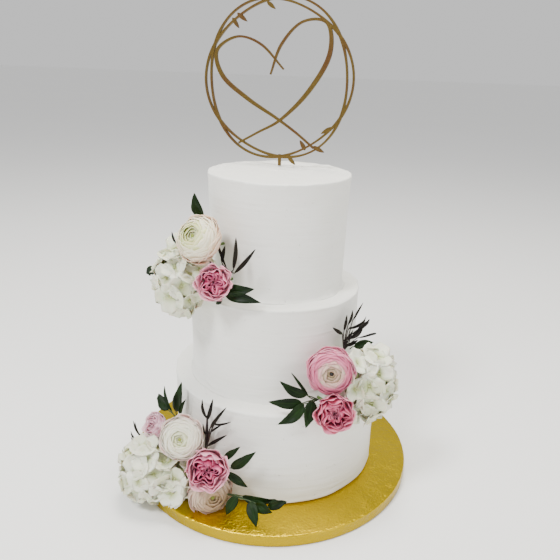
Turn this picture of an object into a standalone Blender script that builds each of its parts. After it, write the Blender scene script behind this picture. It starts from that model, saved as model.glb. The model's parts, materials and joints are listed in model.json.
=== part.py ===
"""A three-tier buttercream cake on a foil cake drum, with a laser-cut hoop topper and three
clusters of fresh flowers and leaves.

The origin is the centre of the drum's underside, +Z is up, and the topper's plate faces -Y.
Places round the cake are given as (azimuth in degrees from +X, distance from the axis in mm,
height in mm), which place() turns into metres.
"""

import math

import bmesh
import bpy
from mathutils import Matrix, Vector

MM = 0.001
GAP = 0.3 * MM  # left wherever two pieces touch

# The drum: a 14 inch board, half an inch thick, wrapped in foil.
DRUM_RADIUS = 178.0 * MM
DRUM_THICKNESS = 14.6 * MM
DRUM_EDGE_ROUND = 1.6 * MM
DRUM_STEPS = 44

# The tiers: name, radius at the foot, radius at the top, height, and the centre's offset in X and Y.
TIERS = (
    ("tier_bottom", 127.5 * MM, 127.0 * MM, 117.3 * MM, (3.6 * MM, 1.2 * MM)),
    ("tier_middle", 101.5 * MM, 101.9 * MM, 112.9 * MM, (-1.2 * MM, -0.4 * MM)),
    ("tier_top", 79.0 * MM, 82.4 * MM, 131.7 * MM, (0.4 * MM, 0.1 * MM)),
)
TIER_STEPS = 48
ICING_EDGE = 2.6 * MM  # round of a tier's top edge
ICING_FOOT = 3.2 * MM  # how far the icing draws in at a tier's foot
ICING_CROWN = 0.8 * MM  # rise of a tier's top in the middle

# The topper: one flat plate with two wavy hoops, a heart of two strokes, leaves and a stake.
TOPPER_CENTRE = (-17.8 * MM, 31.0 * MM, 477.6 * MM)
TOPPER_THICKNESS = 3.0 * MM
PLATE_STEP = 0.05 * MM  # each joined shape is this much thinner, so that no two faces coincide
HOOP_RADIUS = 86.8 * MM
HOOP_WAVE = 3.7 * MM
HOOP_WAVES = 3
HOOP_CROSSING = math.radians(34.0)
HOOP_WIDTH = 3.0 * MM
HOOP_STEPS = 34
STROKE_STEPS = 3  # outline points between two of a stroke's own points
STAKE_X = 6.3
STAKE_WIDTH = 3.4
STROKES = {
    "right_half": (
        (-47, -74, 2.4),
        (-22, -60, 2.6),
        (6, -44, 3.4),
        (38, -12, 5.0),
        (61, 28, 5.2),
        (57, 61, 3.6),
        (28, 62, 2.6),
        (4, 38, 3.0),
        (-8, 6, 1.6),
    ),
    "left_half": (
        (48, -74, 2.2),
        (26, -58, 2.4),
        (0, -42, 3.0),
        (-36, -22, 4.4),
        (-68, 2, 4.8),
        (-76, 30, 3.6),
        (-50, 46, 2.6),
        (-20, 38, 2.6),
        (8, 12, 1.6),
    ),
}
# Each of the topper's small leaves: where it joins the hoop, where its tip is, and its width.
TOPPER_LEAVES = (
    ((-50, 71), (-38, 62), 4.4),
    ((-56, 66), (-48, 55), 4.0),
    ((-14, 83), (-4, 75), 4.0),
    ((69, -49), (56, -57), 4.6),
    ((38, -77), (31, -66), 4.4),
    ((47, -72), (61, -78), 4.6),
    ((17, -86), (26, -95), 4.0),
)

# The blooms: kind, centre place, radius in mm, and the azimuth and rise that the face looks to.
BLOOMS = {
    "ranunculus_white_upper": ("ranunculus", (-116, 116, 317), 25.0, -103, 31),
    "rose_pink_upper": ("rose", (-104, 124, 277), 20.8, -72, 20),
    "ranunculus_pink": ("ranunculus", (-41, 130, 183), 27.0, -72, 11),
    "rose_pink_middle": ("rose", (-41, 149, 141), 23.2, -66, 14),
    "ranunculus_white_lower": ("ranunculus", (-111.5, 154, 94), 24.4, -74, 25),
    "rose_pink_lower": ("rose", (-96, 161, 72), 24.2, -69, 17),
    "ranunculus_blush": ("ranunculus", (-98.5, 149, 37.5), 22.6, -48, 14),
    "rose_pale_back": ("rose", (-129, 160, 86), 15.0, -112, 30),
}
# The hydrangea heads: centre place and half sizes outwards, sideways and up, in mm.
HYDRANGEAS = {
    "hydrangea_upper": ((-126, 129, 266), (26, 30, 37)),
    "hydrangea_middle": ((-19, 141, 153), (27, 31, 45)),
    "hydrangea_lower": ((-123, 177, 45), (34, 42, 38)),
}
BLOOM_SEGMENTS = 18
BLOOM_RINGS = 10
BLOOM_PETALS = 6
STALK_REACH = 1.35  # how far a bloom's stalk runs behind its centre, in its own radii
HYDRANGEA_SEGMENTS = 22
HYDRANGEA_RINGS = 12
FLORETS = 26

# The greenery: each leaf has its base, its tip and its width in mm, and all spring from the root.
SPRIGS = {
    "leaf_upper_top": ((-125, 96, 333), (((-127, 99, 338), (-128, 108, 362), 9.6),)),
    "twig_dark_upper": (
        (-98, 100, 280),
        (
            ((-100, 101, 287), (-113, 96, 324), 2.7),
            ((-102, 99, 290), (-107, 92, 311), 3.8),
            ((-97, 100, 290), (-98, 93, 321), 3.7),
            ((-95, 101, 285), (-83, 100, 313), 4.1),
        ),
    ),
    "ruscus_upper": (
        (-97, 108, 262),
        (
            ((-95, 110, 265), (-82, 108, 269), 11.5),
            ((-95, 111, 260), (-79, 110, 258), 10.5),
            ((-100, 109, 257), (-104, 110, 246), 5.4),
        ),
    ),
    "leaf_upper_left": ((-137, 151, 280), (((-138, 153, 278), (-140, 156, 268), 10.0),)),
    "twig_upper_left": ((-131, 126, 306), (((-130, 128, 309), (-131, 132, 320), 2.7),)),
    "twig_pinnate": (
        (-29, 116, 204),
        (
            ((-28, 116, 212), (-14, 118, 243), 3.4),
            ((-31, 115, 211), (-38, 112, 226), 3.8),
            ((-30, 115, 214), (-28, 112, 237), 3.9),
            ((-28, 115, 216), (-21, 113, 236), 3.9),
            ((-26, 117, 214), (-5, 118, 220), 4.1),
            ((-25, 118, 209), (2, 120, 213), 7.0),
            ((-25, 120, 205), (9, 128, 196), 3.1),
        ),
    ),
    "leaf_middle_back": ((-22, 122, 203), (((-20, 126, 205), (-12, 138, 207), 9.0),)),
    "ruscus_middle": (
        (-58, 128, 155),
        (
            ((-59, 127, 158), (-68, 118, 171), 9.8),
            ((-57, 126, 162), (-61, 118, 181), 3.2),
            ((-60, 129, 155), (-72, 130, 153), 10.8),
            ((-59, 131, 152), (-68, 136, 125), 11.9),
            ((-56, 132, 150), (-57, 140, 122), 9.8),
        ),
    ),
    "leaf_middle_low": ((-50, 135, 119), (((-49, 136, 117), (-45, 136, 109), 6.6),)),
    "ruscus_lower_top": (
        (-125, 135, 100),
        (
            ((-125, 136, 106), (-122, 134, 148), 9.2),
            ((-130, 138, 102), (-145, 148, 108), 10.0),
            ((-128, 137, 104), (-140, 141, 125), 3.8),
            ((-122, 135, 105), (-118, 134, 128), 4.0),
        ),
    ),
    "leaf_lower_left": ((-138, 153, 92), (((-138, 154, 93), (-143, 158, 98), 6.1),)),
    "twig_lower_left": (
        (-141, 171, 74),
        (
            ((-141, 172, 76), (-146, 178, 90), 2.5),
            ((-142, 173, 75), (-149, 182, 86), 2.5),
            ((-143, 173, 73), (-151, 184, 74), 2.5),
        ),
    ),
    "twig_dark_lower": (
        (-102, 136, 99),
        (
            ((-102, 136, 112), (-107, 134, 141), 2.6),
            ((-103, 136, 118), (-100, 134, 146), 3.9),
            ((-101, 136, 104), (-93, 134, 138), 2.7),
            ((-99, 136, 108), (-90, 134, 123), 2.4),
            ((-100, 137, 101), (-91, 138, 109), 2.8),
        ),
    ),
    "ruscus_lower_right": (
        (-86, 143, 74),
        (
            ((-87, 143, 82), (-83, 140, 99), 7.7),
            ((-85, 143, 78), (-76, 141, 98), 9.8),
            ((-85, 143, 70), (-80, 144, 50), 8.9),
        ),
    ),
    "ruscus_lower_drum": (
        (-84, 146, 36),
        (
            ((-85, 149, 34), (-87, 158, 18), 7.8),
            ((-81, 147, 37), (-67, 146, 38), 8.9),
            ((-79, 151, 34), (-75, 168, 18), 9.9),
            ((-76, 150, 34), (-69, 157, 26), 11.1),
            ((-73, 151, 34), (-63, 152, 37), 10.0),
        ),
    ),
}
LEAF_SECTIONS = 5
LEAF_THICKNESS = 1.1 * MM
STALK_WIDTH = 1.5 * MM
KNOT_RADIUS = 1.7 * MM

COLOURS = {
    "drum": ((0.66, 0.44, 0.07, 1), 0.3, 1.0),
    "icing": ((0.85, 0.84, 0.81, 1), 0.6, 0.0),
    "topper": ((0.28, 0.17, 0.045, 1), 0.4, 0.6),
    "white": ((0.85, 0.83, 0.74, 1), 0.6, 0.0),
    "pink": ((0.66, 0.22, 0.34, 1), 0.6, 0.0),
    "blush": ((0.76, 0.55, 0.47, 1), 0.6, 0.0),
    "green": ((0.03, 0.09, 0.03, 1), 0.5, 0.0),
    "dark": ((0.035, 0.02, 0.022, 1), 0.5, 0.0),
}


def place(azimuth, out, up):
    """The point in metres at this azimuth (degrees), distance from the axis and height (mm)."""
    turn = math.radians(azimuth)
    return Vector((out * math.cos(turn), out * math.sin(turn), up)) * MM


def looking(azimuth, rise):
    """The unit vector that looks to this azimuth and rise, in degrees."""
    return place(azimuth, math.cos(math.radians(rise)), math.sin(math.radians(rise))) / MM


def turned_to(centre, facing):
    """The matrix that moves +Z onto facing and the origin onto centre."""
    return Matrix.Translation(centre) @ facing.to_track_quat("Z", "Y").to_matrix().to_4x4()


def new_collection(name):
    collection = bpy.data.collections.new(name)
    bpy.context.scene.collection.children.link(collection)
    return collection


def material(name):
    colour, roughness, metallic = COLOURS[name]
    made = bpy.data.materials.new(name)
    made.use_nodes = True
    shader = made.node_tree.nodes["Principled BSDF"]
    shader.inputs["Base Color"].default_value = colour
    shader.inputs["Roughness"].default_value = roughness
    shader.inputs["Metallic"].default_value = metallic
    return made


def new_object(name, data, collection, finish=None):
    made = bpy.data.objects.new(name, data)
    collection.objects.link(made)
    if finish:
        data.materials.append(material(finish))
    return made


def mesh_from(bm, name):
    bmesh.ops.recalc_face_normals(bm, faces=bm.faces)
    mesh = bpy.data.meshes.new(name)
    bm.to_mesh(mesh)
    bm.free()
    mesh.shade_smooth()
    mesh.set_sharp_from_angle(angle=math.radians(35))
    return mesh


def hide(obj):
    obj.hide_render = True
    obj.display_type = "WIRE"
    return obj


def turned(name, profile, steps, collection, finish=None):
    """A solid of revolution: the profile runs from the axis down its outer side to the axis."""
    mesh = bpy.data.meshes.new(name)
    edges = [(i, i + 1) for i in range(len(profile) - 1)]
    mesh.from_pydata([(radius, 0, height) for radius, height in profile], edges, [])
    made = new_object(name, mesh, collection, finish)
    screw = made.modifiers.new("Turn", "SCREW")
    screw.steps = screw.render_steps = steps
    screw.use_merge_vertices = True
    screw.merge_threshold = 0.00005
    screw.use_smooth_shade = True
    return made


def arc(centre_radius, centre_height, round_radius, start, end, steps):
    """Profile points on a quarter round, with start and end in degrees from outwards to up."""
    angles = [math.radians(start + (end - start) * i / steps) for i in range(steps + 1)]
    return [
        (centre_radius + round_radius * math.cos(a), centre_height + round_radius * math.sin(a))
        for a in angles
    ]


def drum_profile(grow=0.0):
    """The drum's profile. grow moves its faces outwards, which makes a cutter with a gap."""
    radius = DRUM_RADIUS + grow
    top = DRUM_THICKNESS + grow
    edge = DRUM_EDGE_ROUND
    upper = arc(radius - edge, top - edge, edge, 90, 0, 2)
    lower = arc(radius - edge, edge - grow, edge, 0, -90, 2)
    return [(0, top)] + upper + lower + [(0, -grow)]


def tier_profile(foot_radius, top_radius, height, grow=0.0):
    """A tier's profile from its own foot: crowned top, rounded edge, and a foot that draws in."""
    top_edge = arc(top_radius - ICING_EDGE + grow, height - ICING_EDGE + grow, ICING_EDGE, 90, 0, 2)
    foot = [
        (foot_radius + grow, 3 * ICING_FOOT),
        (foot_radius - ICING_FOOT + grow, -grow),
        (0, -grow),
    ]
    return [(0, height + ICING_CROWN + grow)] + top_edge + foot


def add_drum(parts, cutters):
    turned("cake_drum", drum_profile(), DRUM_STEPS, parts, "drum")
    cutter = turned("cut_drum", drum_profile(GAP), DRUM_STEPS, cutters)
    return [hide(cutter)]


def add_tiers(parts, cutters):
    """The three tiers, and a slightly larger copy of each that cuts what leans on it."""
    made = []
    floor = DRUM_THICKNESS + GAP
    for name, foot_radius, top_radius, height, offset in TIERS:
        for grow, collection in ((0.0, parts), (GAP, cutters)):
            profile = tier_profile(foot_radius, top_radius, height, grow)
            label = "cut_" + name if grow else name
            tier = turned(label, profile, TIER_STEPS, collection, None if grow else "icing")
            tier.location = (*offset, floor)
        made.append(hide(tier))
        floor += height + ICING_CROWN + GAP
    return made


def smooth_path(points, steps):
    """Catmull-Rom points through the given ones, with their ends kept."""
    vectors = [Vector(point) for point in points]
    padded = [2 * vectors[0] - vectors[1], *vectors, 2 * vectors[-1] - vectors[-2]]
    path = []
    for a, b, c, d in zip(padded, padded[1:], padded[2:], padded[3:]):
        for i in range(steps):
            t = i / steps
            path.append(
                0.5 * (2 * b + (c - a) * t + (2 * a - 5 * b + 4 * c - d) * t * t
                       + (3 * b - a - 3 * c + d) * t ** 3)
            )
    return path + [vectors[-1]]


def stroke_outline(points):
    """The closed outline of a pen stroke through (x, height, width) points, in mm."""
    path = smooth_path(points, STROKE_STEPS)
    left, right = [], []
    for i, point in enumerate(path):
        along = (path[min(i + 1, len(path) - 1)] - path[max(i - 1, 0)]).to_2d().normalized()
        side = Vector((-along.y, along.x)) * point.z / 2
        left.append(point.to_2d() + side)
        right.append(point.to_2d() - side)
    return left + right[::-1]


def hoop_outlines(wave):
    """The outer and inner outline of one wavy hoop, in mm."""
    outlines = []
    for offset in (HOOP_WIDTH / 2, -HOOP_WIDTH / 2):
        outline = []
        for i in range(HOOP_STEPS):
            turn = math.tau * i / HOOP_STEPS
            radius = HOOP_RADIUS + offset + wave * math.sin(HOOP_WAVES * (turn - HOOP_CROSSING))
            outline.append(Vector((math.cos(turn), math.sin(turn))) * radius / MM)
        outlines.append(outline)
    return outlines


def leaf_outline(base, tip, width):
    """A pointed leaf outline from base to tip, in mm."""
    base, tip = Vector(base), Vector(tip)
    along = tip - base
    side = Vector((-along.y, along.x)).normalized() * width / 2
    return [base - side * 0.3, base + along * 0.45 - side, tip, base + along * 0.45 + side, base + side * 0.3]


def flat_piece(outlines, thickness, collection):
    """A plate in the topper's plane, made from flat outlines in mm, as a welded mesh object."""
    curve = bpy.data.curves.new("plate", "CURVE")
    curve.dimensions = "2D"
    curve.fill_mode = "BOTH"
    curve.extrude = thickness / 2
    for outline in outlines:
        spline = curve.splines.new("POLY")
        spline.points.add(len(outline) - 1)
        for point, corner in zip(spline.points, outline):
            point.co = (corner.x * MM, corner.y * MM, 0, 1)
        spline.use_cyclic_u = True
    guide = new_object("plate", curve, collection)
    guide.matrix_world = Matrix.Translation(TOPPER_CENTRE) @ Matrix.Rotation(math.pi / 2, 4, "X")
    bpy.context.view_layer.update()
    evaluated = guide.evaluated_get(bpy.context.evaluated_depsgraph_get())
    mesh = bpy.data.meshes.new_from_object(evaluated)
    mesh.transform(guide.matrix_world)
    bpy.data.objects.remove(guide)
    bm = bmesh.new()
    bm.from_mesh(mesh)
    bmesh.ops.remove_doubles(bm, verts=bm.verts, dist=0.00001)
    bm.to_mesh(mesh)
    bm.free()
    return new_object("plate", mesh, collection)


def united(name, first, others, collection, finish, solver="EXACT"):
    """One solid from overlapping ones, which are removed."""
    for other in others:
        union = first.modifiers.new("Join", "BOOLEAN")
        union.operation = "UNION"
        union.object = other
        union.solver = solver
    bpy.context.view_layer.update()
    evaluated = first.evaluated_get(bpy.context.evaluated_depsgraph_get())
    mesh = bpy.data.meshes.new_from_object(evaluated)
    mesh.name = name
    for used in (first, *others):
        bpy.data.objects.remove(used)
    mesh.materials.clear()
    return new_object(name, mesh, collection, finish)


def add_topper(parts, cutters):
    """The topper's hoops, heart, leaves and stake as one flat plate."""
    drop = -(TOPPER_CENTRE[2] - top_of_cake()) / MM
    stake = [
        Vector((STAKE_X + side * STAKE_WIDTH / 2, height))
        for side, height in ((-1, -84), (-1, drop), (1, drop), (1, -84))
    ]
    outlines = [hoop_outlines(wave) for wave in (HOOP_WAVE, -HOOP_WAVE)]
    outlines += [[stroke_outline(points)] for points in STROKES.values()]
    outlines += [[leaf_outline(*leaf)] for leaf in TOPPER_LEAVES] + [[stake]]
    pieces = [
        flat_piece(outline, TOPPER_THICKNESS - i * PLATE_STEP, cutters)
        for i, outline in enumerate(outlines)
    ]
    return united("topper", pieces[0], pieces[1:], parts, "topper", "MANIFOLD")


def top_of_cake():
    """Height of the cake's top where the stake stands, clear by the gap."""
    return DRUM_THICKNESS + GAP + sum(tier[3] + ICING_CROWN + GAP for tier in TIERS)


def petal_relief(kind, ring, turn):
    """How far a bloom's surface stands out on this ring, as a share of its radius."""
    if ring == 0:
        return -0.16 if kind == "ranunculus" else -0.1
    if ring > BLOOM_RINGS // 2:
        return 0.0
    depth = 0.1 if kind == "rose" else 0.06
    lobes = 0.5 + 0.5 * math.cos(BLOOM_PETALS * turn + math.pi * (ring // 2))
    return depth * (lobes if ring % 2 else -1)


def bloom_mesh(kind, radius):
    """A bloom that faces +Z: whorls of petals in front, and a rounded cup behind."""
    bm = bmesh.new()
    bmesh.ops.create_uvsphere(bm, u_segments=BLOOM_SEGMENTS, v_segments=BLOOM_RINGS, radius=1)
    front, back = (0.74, 0.62) if kind == "ranunculus" else (0.66, 0.7)
    for vertex in bm.verts:
        polar = math.acos(max(-1.0, min(1.0, vertex.co.z)))
        ring = round(polar * BLOOM_RINGS / math.pi)
        turn = math.atan2(vertex.co.y, vertex.co.x)
        reach = (0.9 + petal_relief(kind, ring, turn)) * radius
        wide = math.sin(polar) ** 0.85
        depth = math.cos(polar) * (front if vertex.co.z > 0 else back)
        vertex.co = Vector((wide * math.cos(turn), wide * math.sin(turn), depth)) * reach
        if ring == BLOOM_RINGS:
            vertex.co.z = -STALK_REACH * radius
    return mesh_from(bm, kind)


def floret_relief(direction, centres):
    """How far a hydrangea stands out in this direction: four-petalled humps round each centre."""
    nearest = max(centres, key=direction.dot)
    away = math.acos(max(-1.0, min(1.0, direction.dot(nearest))))
    across = nearest.orthogonal().normalized()
    offset = direction - nearest * direction.dot(nearest)
    turn = math.atan2(offset.dot(nearest.cross(across)), offset.dot(across))
    spacing = math.sqrt(4 * math.pi / FLORETS)
    hump = math.cos(min(1.0, away / spacing) * math.pi / 2)
    return 0.84 + 0.13 * hump + 0.05 * math.cos(4 * turn) * (1 - hump)


def hydrangea_mesh(half_sizes):
    """A hydrangea head with X outwards, Y sideways and Z up."""
    golden = math.pi * (3 - math.sqrt(5))
    centres = []
    for i in range(FLORETS):
        height = 1 - 2 * (i + 0.5) / FLORETS
        flat = math.sqrt(1 - height * height)
        centres.append(Vector((flat * math.cos(golden * i), flat * math.sin(golden * i), height)))
    bm = bmesh.new()
    bmesh.ops.create_uvsphere(
        bm, u_segments=HYDRANGEA_SEGMENTS, v_segments=HYDRANGEA_RINGS, radius=1
    )
    for vertex in bm.verts:
        direction = vertex.co.normalized()
        reach = floret_relief(direction, centres)
        vertex.co = Vector([d * size * MM * reach for d, size in zip(direction, half_sizes)])
    return mesh_from(bm, "hydrangea")


def grown_copy(obj, collection):
    """A cutter: the object's mesh with every face moved out by the gap."""
    bm = bmesh.new()
    bm.from_mesh(obj.data)
    bm.normal_update()
    for vertex in bm.verts:
        vertex.co += vertex.normal * 1.5 * GAP
    copy = new_object("cut_" + obj.name, mesh_from(bm, obj.name), collection)
    copy.matrix_world = obj.matrix_world
    return hide(copy)


def carve(obj, cutter):
    cut = obj.modifiers.new("Clear " + cutter.name, "BOOLEAN")
    cut.operation = "DIFFERENCE"
    cut.object = cutter


def bloom_finish(name):
    for word in ("white", "blush"):
        if word in name:
            return word
    return "pink"


def add_blooms(parts, cutters, cake_cutters):
    """The blooms and hydrangea heads, each cut clear of the cake and of those made before it."""
    made = []
    for name, (kind, centre, radius, azimuth, rise) in BLOOMS.items():
        bloom = new_object(name, bloom_mesh(kind, radius * MM), parts, bloom_finish(name))
        bloom.matrix_world = turned_to(place(*centre), looking(azimuth, rise))
        made.append((bloom, place(*centre), radius * MM))
    for name, (centre, half_sizes) in HYDRANGEAS.items():
        head = new_object(name, hydrangea_mesh(half_sizes), parts, "white")
        turn = Matrix.Rotation(math.radians(centre[0]), 4, "Z")
        head.matrix_world = Matrix.Translation(place(*centre)) @ turn
        made.append((head, place(*centre), max(half_sizes) * MM))
    bpy.context.view_layer.update()
    for i, (bloom, centre, radius) in enumerate(made):
        for cutter in cake_cutters:
            carve(bloom, cutter)
        for other, other_centre, other_radius in made[:i]:
            if (centre - other_centre).length < radius + other_radius:
                carve(bloom, bpy.data.objects.get("cut_" + other.name) or grown_copy(other, cutters))


def leaf_mesh(root, base, tip, width):
    """A stalk from the root to the base, then a pointed blade to the tip, as one closed form."""
    bm = bmesh.new()
    bmesh.ops.create_uvsphere(bm, u_segments=4, v_segments=LEAF_SECTIONS, radius=1)
    middle = (base + tip) / 2
    outwards = Vector((middle.x, middle.y, 0)).normalized() + Vector((0, 0, 0.35))
    along = (tip - base).normalized()
    across = along.cross(outwards).normalized()
    normal = across.cross(along).normalized()
    sections = (
        (root, STALK_WIDTH, STALK_WIDTH),
        (root, STALK_WIDTH, STALK_WIDTH),
        (base, STALK_WIDTH, STALK_WIDTH),
        (base.lerp(tip, 0.33), width, LEAF_THICKNESS),
        (base.lerp(tip, 0.68), width * 0.72, LEAF_THICKNESS),
        (tip, STALK_WIDTH / 2, STALK_WIDTH / 2),
    )
    back = (base - root).normalized() * STALK_WIDTH / 2
    for vertex in bm.verts:
        ring = round(math.acos(max(-1.0, min(1.0, vertex.co.z))) * LEAF_SECTIONS / math.pi)
        centre, wide, thick = sections[ring]
        if ring in (0, LEAF_SECTIONS):
            vertex.co = centre - (back if ring == 0 else Vector())
            continue
        turn = math.atan2(vertex.co.y, vertex.co.x)
        vertex.co = centre + across * wide / 2 * math.cos(turn) + normal * thick / 2 * math.sin(turn)
    return mesh_from(bm, "leaf")


def add_sprigs(parts, cutters):
    """Each sprig: its leaves joined at a small knot."""
    for name, (root, leaves) in SPRIGS.items():
        bm = bmesh.new()
        bmesh.ops.create_icosphere(bm, subdivisions=1, radius=KNOT_RADIUS)
        bmesh.ops.translate(bm, verts=bm.verts, vec=place(*root))
        knot = new_object("knot", mesh_from(bm, "knot"), cutters)
        blades = [
            new_object("blade", leaf_mesh(place(*root), place(*base), place(*tip), width * MM), cutters)
            for base, tip, width in leaves
        ]
        finish = "dark" if name.startswith("twig") else "green"
        united(name, knot, blades, parts, finish)


def main():
    for obj in list(bpy.data.objects):
        bpy.data.objects.remove(obj)
    parts = new_collection("tiered_cake")
    cutters = new_collection("cutters")
    cake_cutters = add_drum(parts, cutters) + add_tiers(parts, cutters)
    add_topper(parts, cutters)
    add_blooms(parts, cutters, cake_cutters)
    add_sprigs(parts, cutters)


main()
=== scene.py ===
"""The looks of a three-tier buttercream cake on a foil drum, with fresh flowers and a hoop topper.

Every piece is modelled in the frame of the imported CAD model: metres, +Z up, origin at the centre
of the drum's underside. Places round the cake are (azimuth in degrees, distance from the axis in
mm, height in mm), as in the model's own source.
"""

import json
import math
import random

import bmesh
import bpy
import numpy as np
from bpy.props import FloatProperty, FloatVectorProperty, IntProperty, PointerProperty
from bpy.types import Operator, Panel, PropertyGroup
from mathutils import Matrix, Vector, noise

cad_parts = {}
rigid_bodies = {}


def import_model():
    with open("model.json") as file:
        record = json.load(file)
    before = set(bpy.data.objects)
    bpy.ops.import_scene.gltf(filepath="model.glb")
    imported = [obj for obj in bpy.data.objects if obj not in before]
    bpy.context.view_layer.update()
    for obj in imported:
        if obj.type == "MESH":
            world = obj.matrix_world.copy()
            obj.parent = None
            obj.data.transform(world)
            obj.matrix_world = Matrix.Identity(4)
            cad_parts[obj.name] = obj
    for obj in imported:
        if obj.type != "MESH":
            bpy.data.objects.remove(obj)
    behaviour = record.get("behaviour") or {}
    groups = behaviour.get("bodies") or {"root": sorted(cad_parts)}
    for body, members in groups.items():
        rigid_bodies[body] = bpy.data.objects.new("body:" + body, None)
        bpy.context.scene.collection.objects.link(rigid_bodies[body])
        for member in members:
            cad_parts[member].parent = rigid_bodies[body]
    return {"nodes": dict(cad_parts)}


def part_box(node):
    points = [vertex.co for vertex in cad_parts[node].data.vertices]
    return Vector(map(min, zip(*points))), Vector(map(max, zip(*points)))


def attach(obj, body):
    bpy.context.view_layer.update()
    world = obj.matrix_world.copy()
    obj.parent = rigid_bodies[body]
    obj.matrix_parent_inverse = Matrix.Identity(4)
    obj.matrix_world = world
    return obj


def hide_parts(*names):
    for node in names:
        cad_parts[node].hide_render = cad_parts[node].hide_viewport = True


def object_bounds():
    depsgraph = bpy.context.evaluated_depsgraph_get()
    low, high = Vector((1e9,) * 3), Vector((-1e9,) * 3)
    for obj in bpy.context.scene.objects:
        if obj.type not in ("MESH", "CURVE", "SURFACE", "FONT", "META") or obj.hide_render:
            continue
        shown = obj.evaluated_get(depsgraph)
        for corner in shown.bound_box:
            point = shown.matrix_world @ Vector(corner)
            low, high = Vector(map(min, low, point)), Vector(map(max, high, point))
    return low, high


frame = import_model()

bl_info = {
    "name": "Tiered Flower Cake",
    "version": (1, 0, 0),
    "blender": (4, 5, 0),
    "location": "3D View > Sidebar > Cake",
    "description": "Icing, foil, flowers and topper for a tiered cake",
    "category": "Object",
}

MM = 0.001
NODES = frame["nodes"]
CAD_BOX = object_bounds()


# ---------------------------------------------------------------- small geometry helpers


def place(azimuth, out, up):
    """The point in metres at this azimuth (degrees), distance from the axis and height (mm)."""
    turn = math.radians(azimuth)
    return Vector((out * math.cos(turn), out * math.sin(turn), up)) * MM


def looking(azimuth, rise):
    """The unit vector that looks to this azimuth and rise, in degrees."""
    return place(azimuth, math.cos(math.radians(rise)), math.sin(math.radians(rise))) / MM


def turned_to(centre, facing, spin=0.0):
    """The matrix that puts the origin on centre and +Z on facing, after a spin about +Z."""
    turn = facing.to_track_quat("Z", "Y").to_matrix().to_4x4()
    return Matrix.Translation(centre) @ turn @ Matrix.Rotation(spin, 4, "Z")


def deselect():
    for obj in bpy.context.view_layer.objects:
        obj.select_set(False)


def select_only(objects):
    deselect()
    for obj in objects:
        obj.select_set(True)
    bpy.context.view_layer.objects.active = objects[0]


def wave_noise(points, scale, seed=0.0):
    """Smooth noise between -1 and 1 at each point, with features 1 / scale metres across."""
    shift = Vector((seed, 1.7 * seed, -seed))
    return np.array([noise.noise(Vector(p) * scale + shift) for p in points])


def smooth_step(low, high, values):
    t = np.clip((values - low) / (high - low), 0.0, 1.0)
    return t * t * (3 - 2 * t)


def grid_piece(name, columns, rows):
    """A flat grid from -1 to 1, with its UV map running 0 to 1 the same way."""
    deselect()
    bpy.ops.mesh.primitive_grid_add(x_subdivisions=columns, y_subdivisions=rows, size=2)
    piece = bpy.context.active_object
    piece.name = piece.data.name = name
    return piece


def coordinates(piece):
    flat = np.empty(len(piece.data.vertices) * 3)
    piece.data.vertices.foreach_get("co", flat)
    return flat.reshape(-1, 3)


def set_coordinates(piece, points):
    piece.data.vertices.foreach_set("co", np.ascontiguousarray(points, float).ravel())
    piece.data.update()


def moved(points, matrix):
    return points @ np.array(matrix.to_3x3()).T + np.array(matrix.translation)


def set_layer(piece, value):
    """Stores how far out a petal sits in its flower, 0 at the heart and 1 outside."""
    layer = piece.data.attributes.get("layer") or piece.data.attributes.new("layer", "FLOAT", "POINT")
    layer.data.foreach_set("value", np.full(len(piece.data.vertices), value, np.float32))


def copy_of(piece, name):
    copy = piece.copy()
    copy.data = piece.data.copy()
    copy.name = name
    bpy.context.scene.collection.objects.link(copy)
    return copy


def joined(name, objects):
    select_only(objects)
    if len(objects) > 1:
        bpy.ops.object.join()
    piece = bpy.context.active_object
    piece.name = piece.data.name = name
    return piece


def pick(piece, test):
    """In edit mode, selects only the vertices whose place passes the test."""
    mesh = bmesh.from_edit_mesh(piece.data)
    for vertex in mesh.verts:
        vertex.select = test(vertex.co)
    mesh.select_mode = {"VERT"}
    mesh.select_flush_mode()
    bmesh.update_edit_mesh(piece.data)


def turned(name, profile, steps):
    """A closed turned form: the profile of (radius, height) is drawn out, then spun round +Z."""
    deselect()
    bpy.ops.mesh.primitive_plane_add(size=0.001, location=(0, 0, 0))
    piece = bpy.context.active_object
    piece.name = piece.data.name = name
    bpy.ops.object.mode_set(mode="EDIT")
    bpy.ops.mesh.select_all(action="SELECT")
    bpy.ops.mesh.merge(type="CENTER")
    bpy.ops.transform.translate(value=(profile[0][0], 0, profile[0][1]))
    for here, there in zip(profile, profile[1:]):
        step = (there[0] - here[0], 0, there[1] - here[1])
        bpy.ops.mesh.extrude_region_move(TRANSFORM_OT_translate={"value": step})
    bpy.ops.mesh.select_all(action="SELECT")
    bpy.ops.mesh.spin(steps=steps, angle=math.tau, center=(0, 0, 0), axis=(0, 0, 1))
    bpy.ops.object.mode_set(mode="OBJECT")
    return closed(piece)


def applied(piece, kind, **settings):
    """Adds a modifier with these settings and applies it."""
    select_only([piece])
    modifier = piece.modifiers.new(kind.title(), kind)
    for key, value in settings.items():
        setattr(modifier, key, value)
    bpy.ops.object.modifier_apply(modifier=modifier.name)
    return piece


def closed(piece, distance=0.00001):
    """Merges seams and poles, and turns every face outwards."""
    select_only([piece])
    bpy.ops.object.mode_set(mode="EDIT")
    bpy.ops.mesh.select_all(action="SELECT")
    bpy.ops.mesh.remove_doubles(threshold=distance)
    bpy.ops.mesh.normals_make_consistent(inside=False)
    bpy.ops.object.mode_set(mode="OBJECT")
    return piece


def smooth(piece, degrees=None):
    select_only([piece])
    if degrees is None:
        bpy.ops.object.shade_smooth()
    else:
        bpy.ops.object.shade_smooth_by_angle(angle=math.radians(degrees))
    return piece


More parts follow.
